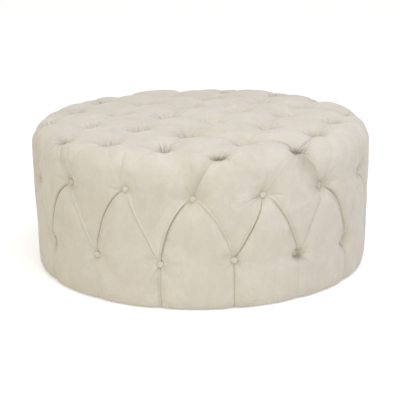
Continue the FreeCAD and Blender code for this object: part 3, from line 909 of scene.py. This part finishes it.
def make_slab():
    """Foam on the deck, rounded at its upper edge."""
    low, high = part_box("top_foam")
    radius = high[0] - FOAM_CLEARANCE
    profile = [(1e-4, low[2]), (radius - SLAB_CUT, low[2]), (radius, low[2] + SLAB_CUT)]
    for lean in np.linspace(0, 1, 6) * math.pi / 2:
        profile.append((radius - SLAB_ROUND + SLAB_ROUND * math.cos(lean),
                        high[2] - SLAB_ROUND + SLAB_ROUND * math.sin(lean)))
    profile += [(radius * 0.6, high[2]), (1e-4, high[2])]
    return lathe("foam_slab", profile, FOAM_SIDES, 0.0008, 11)


def make_strip():
    """Foam wrapped round the side."""
    low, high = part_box("side_foam")
    radius = high[0] - FOAM_CLEARANCE
    inner, edge = radius - STRIP_THICKNESS, radius - STRIP_CUT
    bottom, top = low[2] + STRIP_CLEARANCE, high[2] - STRIP_CLEARANCE
    middle = (bottom + top) / 2
    profile = [(inner, bottom), (edge, bottom), (radius, bottom + STRIP_CUT), (radius, middle),
               (radius, top - STRIP_CUT), (edge, top), (inner, top), (inner, middle)]
    return lathe("foam_strip", profile, FOAM_SIDES, 0.0006, 12)


def make_foam():
    slab, strip = make_slab(), make_strip()
    for piece, node in ((slab, "top_foam"), (strip, "side_foam")):
        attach(piece, "root")
        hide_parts(node)
    return slab, strip


# The dust cloth, in metres: its level, how much it rises where it is slack and puckered

SHEET_LEVEL = 0.0053
SHEET_SLACK = 0.00048
SHEET_PUCKER = 0.0002
SHEET_FASTENED = 0.93


def make_dust_cloth():
    """Black cloth under the base: a round sheet pulled flat, slack between its fastenings."""
    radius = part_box("dust_cover")[1][0]
    sides, count = 96, 22
    angles = np.linspace(0, math.tau, sides, endpoint=False)
    rows = []
    for share in np.linspace(0.04, 1, count):
        slack = SHEET_SLACK * np.sin(math.pi * min(share / SHEET_FASTENED, 1)) ** 2
        slack = slack * (1 + 0.35 * np.sin(angles * 8 + share * 5))
        pucker = SHEET_PUCKER * np.sin(angles * 24) * share ** 8
        rows.append(ring_points(radius * share, angles, SHEET_LEVEL + slack + pucker))
    points = np.vstack(rows + [[[0, 0, SHEET_LEVEL]]])
    faces = grid_faces(count, sides) + fan_faces(0, sides, len(points) - 1)
    cloth = new_object("dust_cloth", points, faces, merge=1e-6)
    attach(cloth, "root")
    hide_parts("dust_cover")
    return cloth


def make_button_mesh():
    """A covered button: a low dome whose cloth is drawn under its edge, with a few gathers."""
    profile = [(0.0, 1.0), (0.25, 0.985), (0.5, 0.93), (0.72, 0.80), (0.88, 0.60), (0.97, 0.36),
               (1.0, 0.15), (0.97, -0.05), (0.85, -0.2), (0.0, -0.25)]
    sides = 32
    angles = np.linspace(0, math.tau, sides, endpoint=False)
    rows = []
    for across, level in profile[1:-1]:
        gather = 1 + 0.02 * np.sin(angles * 8) * across ** 4
        rows.append(ring_points(BUTTON_RADIUS * across * gather, angles, BUTTON_RISE * level))
    top = len(rows) * sides
    downward = grid_faces(len(rows), sides) + fan_faces(top - sides, sides, top + 1)
    faces = [face[::-1] for face in downward] + fan_faces(0, sides, top)
    ends = [(0, 0, BUTTON_RISE * profile[end][1]) for end in (0, -1)]
    return np.vstack(rows + [ends]), faces


BUTTON_ROWS = {"top_buttons": INNER, "rim_buttons": RIM,
               "upper_side_buttons": UPPER, "lower_side_buttons": LOWER}


def make_buttons():
    base_points, faces = make_button_mesh()
    made = []
    for name, nodes in BUTTON_ROWS.items():
        all_points, all_faces = [], []
        for node in nodes:
            way = pull_direction(node)
            seat = surface(PLACE[node][None, :], np.ones(1), plain=True)[0][0] - way * BUTTON_SEAT
            turn = Vector((0, 0, 1)).rotation_difference(Vector(-way)).to_matrix()
            start = len(all_points) * len(base_points)
            all_faces += [tuple(corner + start for corner in face) for face in faces]
            all_points.append(base_points @ np.array(turn).T + seat)
        piece = new_object("covered_" + name, np.vstack(all_points), all_faces)
        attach(piece, "root")
        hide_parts(name)
        made.append(piece)
    return made


# Materials


class Nodes:
    """A node tree, with short ways to add to it."""

    def __init__(self, tree):
        self.tree = tree

    def link(self, output, socket):
        self.tree.links.new(output, socket)

    def feed(self, socket, value):
        """Sets a socket to a number, a vector or a colour, or links an output to it."""
        if isinstance(value, (int, float)):
            socket.default_value = value
        elif isinstance(value, tuple):
            opaque = (1,) * (len(socket.default_value) - len(value))
            socket.default_value = value + opaque
        else:
            self.link(value, socket)

    def node(self, kind, inputs=(), **settings):
        """A new node; its inputs are fed by name or by number."""
        made = self.tree.nodes.new("ShaderNode" + kind)
        for name, value in settings.items():
            setattr(made, name, value)
        for name, value in dict(inputs).items():
            self.feed(made.inputs[name], value)
        return made

    def math(self, kind, *values, clamp=False):
        return self.node("Math", enumerate(values), operation=kind, use_clamp=clamp).outputs[0]

    def ramp(self, value, stops):
        ramp = self.node("ValToRGB", {"Fac": value})
        elements = ramp.color_ramp.elements
        for index, (position, color) in enumerate(stops):
            element = elements[index] if index < 2 else elements.new(position)
            element.position = position
            element.color = (*color, 1)
        return ramp.outputs["Color"]

    def mix(self, first, second, factor, kind="MIX"):
        node = self.node("Mix", data_type="RGBA", blend_type=kind)
        sockets = {socket.identifier: socket for socket in node.inputs}
        for name, value in (("A_Color", first), ("B_Color", second), ("Factor_Float", factor)):
            self.feed(sockets[name], value)
        return next(s for s in node.outputs if s.identifier == "Result_Color")

    def attribute(self, name, output="Fac"):
        return self.node("Attribute", attribute_name=name).outputs[output]


class Shading(Nodes):
    """A new material with its nodes at hand."""

    def __init__(self, name, color, roughness, specular=0.5, sheen=0.0, sheen_roughness=0.4, metallic=0.0):
        self.material = bpy.data.materials.new(name)
        self.material.use_nodes = True
        super().__init__(self.material.node_tree)
        self.shader = self.tree.nodes["Principled BSDF"]
        self.place = self.node("TexCoord").outputs["Object"]
        looks = {
            "Base Color": color, "Roughness": roughness, "Specular IOR Level": specular,
            "Metallic": metallic, "Sheen Weight": sheen, "Sheen Roughness": sheen_roughness,
        }
        for look, value in looks.items():
            self.feed(self.shader.inputs[look], value)

    def noise(self, scale, detail=3.0, roughness=0.55, distortion=0.0, stretch=None):
        place = self.place
        if stretch:
            place = self.node("Mapping", {"Vector": place, "Scale": stretch}).outputs["Vector"]
        inputs = {
            "Vector": place, "Scale": scale, "Detail": detail, "Roughness": roughness,
            "Distortion": distortion,
        }
        return self.node("TexNoise", inputs).outputs["Fac"]

    def wave(self, scale, direction, distortion=0.0):
        inputs = {"Vector": self.place, "Scale": scale, "Distortion": distortion}
        return self.node("TexWave", inputs, bands_direction=direction).outputs["Fac"]

    def gather_lines(self):
        """Fine lines that run out from the nearest tuft, as strong as the gathers are there."""
        parts = self.node("SeparateXYZ", {0: self.attribute("tuft_offset", "Vector")}).outputs
        angle = self.math("ARCTAN2", parts["Y"], parts["X"])
        round_tuft = {0: self.math("COSINE", angle), 1: self.math("SINE", angle), 2: parts["Z"]}
        ring = self.node("CombineXYZ", round_tuft).outputs[0]
        lines = self.node("TexNoise", {"Vector": ring, "Scale": 5.5, "Detail": 1.0})
        return self.math("MULTIPLY", lines.outputs["Fac"], self.attribute("gather"))

    def bump(self, heights):
        """Bumps stacked on one another, each as (height, strength, distance in metres)."""
        stacked = {}
        for height, strength, distance in heights:
            inputs = {"Height": height, "Strength": strength, "Distance": distance, **stacked}
            stacked = {"Normal": self.node("Bump", inputs).outputs["Normal"]}
        self.feed(self.shader.inputs["Normal"], stacked["Normal"])

    def color(self, output):
        self.feed(self.shader.inputs["Base Color"], output)


def grey(value):
    return (value, value, value)


# Colours for the painted shade and highlight beside folds, from darker to paler
FOLD_SHADE_STOPS = [(0.0, (0.80, 0.80, 0.765)), (0.5, (1.0, 1.0, 1.0)), (1.0, (1.07, 1.08, 1.10))]


def velvet_material(name, on_cover=True):
    """Cream velvet: soft patches where the nap lies one way or the other; on the cover, a warm painted
    shade in its hollows, painted shade in its creases, and painted shade and highlight beside some folds.
    """
    made = Shading(name, (0.72, 0.665, 0.56), 0.92, specular=0.10, sheen=0.30, sheen_roughness=0.38)
    made.shader.inputs["Sheen Tint"].default_value = (1.0, 0.97, 0.96, 1)
    patches = made.noise(9, 4, 0.6, 0.8)
    strokes = made.noise(30, 3, 0.6, 0.8, stretch=(1, 1, 0.5))
    nap = made.noise(260, 2, 0.6)
    brushed_up = made.noise(13, 2, 0.5, 1.4)
    color = made.ramp(patches, [(0.34, (0.685, 0.628, 0.512)), (0.66, (0.735, 0.682, 0.578))])
    for height, stops in (
        (strokes, [(0.40, grey(0.98)), (0.62, grey(1.015))]),
        (nap, [(0.3, grey(0.975)), (0.7, grey(1.02))]),
        (brushed_up, [(0.57, grey(1.0)), (0.68, grey(1.035))]),
    ):
        color = made.mix(color, made.ramp(height, stops), 1.0, "MULTIPLY")
    heights = [(strokes, 0.2, 0.0012), (made.noise(330, 3, 0.6, 0.3), 0.35, 0.0005)]
    if on_cover:
        # Painted shade: a darker, warmer tint in the hollows, by how sunk the cloth is
        sunk = made.math("POWER", made.attribute("sunk"), 1.6)
        color = made.mix(color, (0.56, 0.52, 0.36), made.math("MULTIPLY", sunk, 0.38, clamp=True))
        # Painted shade: a dark olive tint along the creases
        shade_in_crease = made.math("MULTIPLY", made.attribute("crease"), 0.34, clamp=True)
        color = made.mix(color, (0.33, 0.31, 0.20), shade_in_crease)
        # Painted shade and painted highlight beside some folds, partly for the nap lying the other way
        painted_fold_light = made.math("ADD", made.attribute("nap"), 0.5, clamp=True)
        color = made.mix(color, made.ramp(painted_fold_light, FOLD_SHADE_STOPS), 1.0, "MULTIPLY")
        heights.append((made.gather_lines(), 1.0, 0.0080))
    heights.append((made.noise(1500, 2, 0.6), 0.5, 0.0002))
    made.color(color)
    made.bump(heights)
    return made.material


def wood_material(name, light, dark, stretch, scale, roughness=0.6):
    """Timber: long grain lines with a finer pore pattern across them."""
    made = Shading(name, light, roughness, specular=0.35)
    grain = made.noise(scale, 5, 0.62, 1.2, stretch=stretch)
    pores = made.noise(scale * 9, 2, 0.6, stretch=stretch)
    color = made.ramp(grain, [(0.34, dark), (0.66, light)])
    color = made.mix(color, made.ramp(pores, [(0.35, grey(0.86)), (0.6, grey(1.0))]), 1.0, "MULTIPLY")
    made.color(color)
    made.bump([(grain, 0.25, 0.0006), (pores, 0.3, 0.0002)])
    return made.material


def plywood_material():
    """Birch plywood: quiet face grain, with thin plies where the edge shows."""
    made = Shading("birch_plywood", (0.72, 0.56, 0.36), 0.62, specular=0.35)
    grain = made.noise(9, 5, 0.6, 1.5, stretch=(1, 0.12, 1))
    wave = made.wave(95, "Z", 0.4)
    face = made.ramp(grain, [(0.35, (0.60, 0.44, 0.26)), (0.66, (0.76, 0.60, 0.40))])
    plies = made.ramp(wave, [(0.35, grey(0.78)), (0.6, grey(1.0))])
    made.color(made.mix(face, plies, 1.0, "MULTIPLY"))
    made.bump([(grain, 0.25, 0.0005), (wave, 0.2, 0.0003)])
    return made.material


def speckled_material(name, light, dark, scale, roughness, specular=0.3, bump=0.3, metallic=0.0,
                      sheen=0.0):
    made = Shading(name, light, roughness, specular=specular, metallic=metallic, sheen=sheen)
    broad = made.noise(scale, 4, 0.6, 0.4)
    fine = made.noise(scale * 8, 2, 0.65)
    color = made.ramp(broad, [(0.35, dark), (0.65, light)])
    made.color(made.mix(color, made.ramp(fine, [(0.35, grey(0.88)), (0.65, grey(1.05))]), 1.0, "MULTIPLY"))
    rough = made.math("ADD", made.math("MULTIPLY", fine, 0.2), roughness - 0.1, clamp=True)
    made.feed(made.shader.inputs["Roughness"], rough)
    made.bump([(broad, bump, 0.0006), (fine, bump, 0.0002)])
    return made.material


def twine_material():
    made = Shading("waxed_twine", (0.78, 0.72, 0.60), 0.7, specular=0.25)
    wave = made.wave(420, "DIAGONAL")
    made.color(made.ramp(wave, [(0.3, (0.55, 0.48, 0.36)), (0.7, (0.82, 0.77, 0.66))]))
    made.bump([(wave, 0.5, 0.0003)])
    return made.material


def dust_cloth_material():
    """Non-woven cloth: a pressed pattern of dots on matted black fibres."""
    made = Shading("non_woven_cloth", (0.018, 0.018, 0.019), 0.9, specular=0.2, sheen=0.15)
    dots = made.node("TexVoronoi", {"Vector": made.place, "Scale": 650, "Randomness": 0.25})
    fibres = made.noise(900, 3, 0.7, 1.5)
    made.color(made.ramp(fibres, [(0.35, grey(0.010)), (0.7, grey(0.035))]))
    made.bump([(fibres, 0.5, 0.0002), (dots.outputs["Distance"], 0.4, 0.0003)])
    return made.material


def paint(piece, material):
    piece.data.materials.clear()
    piece.data.materials.append(material)


def paint_nodes():
    """Materials of the hard pieces, which keep their solids from the frame."""
    ply = plywood_material()
    timber = wood_material("sawn_pine", (0.74, 0.56, 0.34), (0.55, 0.36, 0.18), (1, 1, 0.08), 30)
    hardboard = speckled_material("hardboard", (0.23, 0.14, 0.08), (0.15, 0.09, 0.05), 60, 0.55)
    twine = twine_material()
    plastic = speckled_material("toggle_plastic", grey(0.70), grey(0.62), 120, 0.45, bump=0.12)
    steel = speckled_material("zinc_plate", (0.62, 0.62, 0.60), (0.50, 0.50, 0.49), 220, 0.35,
                              bump=0.1, metallic=1.0)
    glide = speckled_material("glide_plastic", grey(0.030), grey(0.018), 160, 0.5, bump=0.15)
    finishes = {
        "deck": ply, "base_ring": ply, "side_panel": hardboard, "deck_screws": steel, "base_screws": steel,
        "cover_staples": steel, "glides": glide,
    }
    for row in ("top", "rim", "upper_side", "lower_side"):
        finishes[row + "_twines"] = twine
        finishes[row + "_toggles"] = plastic
    for name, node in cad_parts.items():
        if name.startswith("post_"):
            paint(node, timber)
        elif name in finishes:
            paint(node, finishes[name])


# Stage, camera and lights

VIEW_AZIMUTH = math.radians(25.32)
VIEW_DISTANCE = 2.952
VIEW_HEIGHT = 1.008
VIEW_PITCH = math.radians(16.184)
VIEW_ROLL = -0.0123
FOCAL_PIXELS = 1101.31
PICTURE = 400
AXIS_X = 201.27
FLOOR_GLOW = 0.38
FLOOR_REACH = 9
WORLD_LEVEL = 0.725
WARM_SIDE, COOL_SIDE = (1.0, 0.965, 0.75), (0.955, 0.97, 1.06)

# Lamps: azimuth in degrees from the camera's to its right, distance, height, power, width, tint

LAMPS = {
    "overhead": (20, 1.2, 2.7, 20, 1.4, (0.92, 0.95, 1.09)),
    "key": (24, 2.8, 1.7, 7, 0.9, (1.0, 0.985, 0.95)),
    "fill": (-30, 3.0, 1.0, 6.5, 1.6, (1.0, 0.98, 0.90)),
}


def seen_directly(made):
    """1 for rays from the camera, a mirror or a lens, which see the plain white studio."""
    rays = made.node("LightPath").outputs
    seen = made.math("MAXIMUM", rays["Is Camera Ray"], rays["Is Glossy Ray"])
    return made.math("MAXIMUM", seen, rays["Is Transmission Ray"])


def make_stage():
    corners = [(x * FLOOR_REACH, y * FLOOR_REACH, 0) for x, y in ((-1, -1), (1, -1), (1, 1), (-1, 1))]
    floor = new_object("floor", corners, [(0, 1, 2, 3)])
    made = Shading("white_floor", (0.87, 0.865, 0.83), 0.9, specular=0.1)
    made.feed(made.shader.inputs["Emission Color"], (1, 1, 1))
    glow = made.math("MULTIPLY", seen_directly(made), FLOOR_GLOW)
    made.feed(made.shader.inputs["Emission Strength"], glow)
    paint(floor, made.material)


def stand(distance, azimuth, level):
    """A place round the object; azimuth 0 is in front of it."""
    return (distance * math.sin(azimuth), -distance * math.cos(azimuth), level)


def make_camera():
    data = bpy.data.cameras.new("camera")
    camera = bpy.data.objects.new("camera", data)
    bpy.context.scene.collection.objects.link(camera)
    data.sensor_width = 36
    data.lens = FOCAL_PIXELS * data.sensor_width / PICTURE
    data.shift_x = (PICTURE / 2 - AXIS_X) / PICTURE
    camera.location = stand(VIEW_DISTANCE, VIEW_AZIMUTH, VIEW_HEIGHT)
    look = Matrix.Rotation(VIEW_AZIMUTH, 4, "Z") @ Matrix.Rotation(math.pi / 2 - VIEW_PITCH, 4, "X")
    look = look @ Matrix.Rotation(VIEW_ROLL, 4, "Z")
    camera.rotation_euler = look.to_euler()
    bpy.context.scene.camera = camera


def area_light(name, azimuth, distance, level, power, extent, tint):
    """A soft lamp aimed at the object."""
    data = bpy.data.lights.new(name, "AREA")
    data.energy = power
    data.color = tint
    data.shape = "RECTANGLE"
    data.size, data.size_y = extent, extent
    lamp = bpy.data.objects.new(name, data)
    lamp.location = stand(distance, math.radians(azimuth) + VIEW_AZIMUTH, level)
    lamp.rotation_euler = (Vector((0, 0, 0.2)) - lamp.location).to_track_quat("-Z", "Y").to_euler()
    bpy.context.scene.collection.objects.link(lamp)


def make_world():
    """Light from all round, warmer from the left; seen directly it is plain white."""
    world = bpy.data.worlds.new("studio")
    bpy.context.scene.world = world
    world.use_nodes = True
    made = Nodes(world.node_tree)
    way = made.node("TexCoord").outputs["Generated"]
    rightward = (math.cos(VIEW_AZIMUTH), math.sin(VIEW_AZIMUTH), 0.9)
    across = made.node("VectorMath", {0: way, 1: rightward}, operation="DOT_PRODUCT").outputs["Value"]
    share = made.node("MapRange", {"Value": across, "From Min": -0.8, "From Max": 0.8}).outputs["Result"]
    tint = made.ramp(share, [(0.0, WARM_SIDE), (1.0, COOL_SIDE)])
    light, white = made.tree.nodes["Background"], made.node("Background", {"Color": (1, 1, 1)})
    made.feed(light.inputs["Color"], tint)
    made.feed(light.inputs["Strength"], WORLD_LEVEL)
    mix = made.node("MixShader", {0: seen_directly(made), 1: light.outputs[0], 2: white.outputs[0]})
    made.link(mix.outputs[0], made.tree.nodes["World Output"].inputs["Surface"])


velvet = velvet_material("cream_velvet")
button_velvet = velvet_material("button_velvet", on_cover=False)
cover = make_cover()
paint(cover, velvet)
for piece in make_buttons():
    paint(piece, button_velvet)
fibres = speckled_material("batting_fibres", grey(0.84), grey(0.76), 40, 0.95, 0.1, 0.6, sheen=0.2)
paint(make_batting(), fibres)
foam = speckled_material("foam", (0.80, 0.74, 0.50), (0.72, 0.65, 0.42), 300, 0.95, 0.1, 0.5)
for piece in make_foam():
    paint(piece, foam)
paint(make_dust_cloth(), dust_cloth_material())
paint_nodes()
make_stage()
make_camera()
make_world()
for name, lamp in LAMPS.items():
    area_light(name, *lamp)
bpy.context.scene.view_settings.view_transform = "Standard"
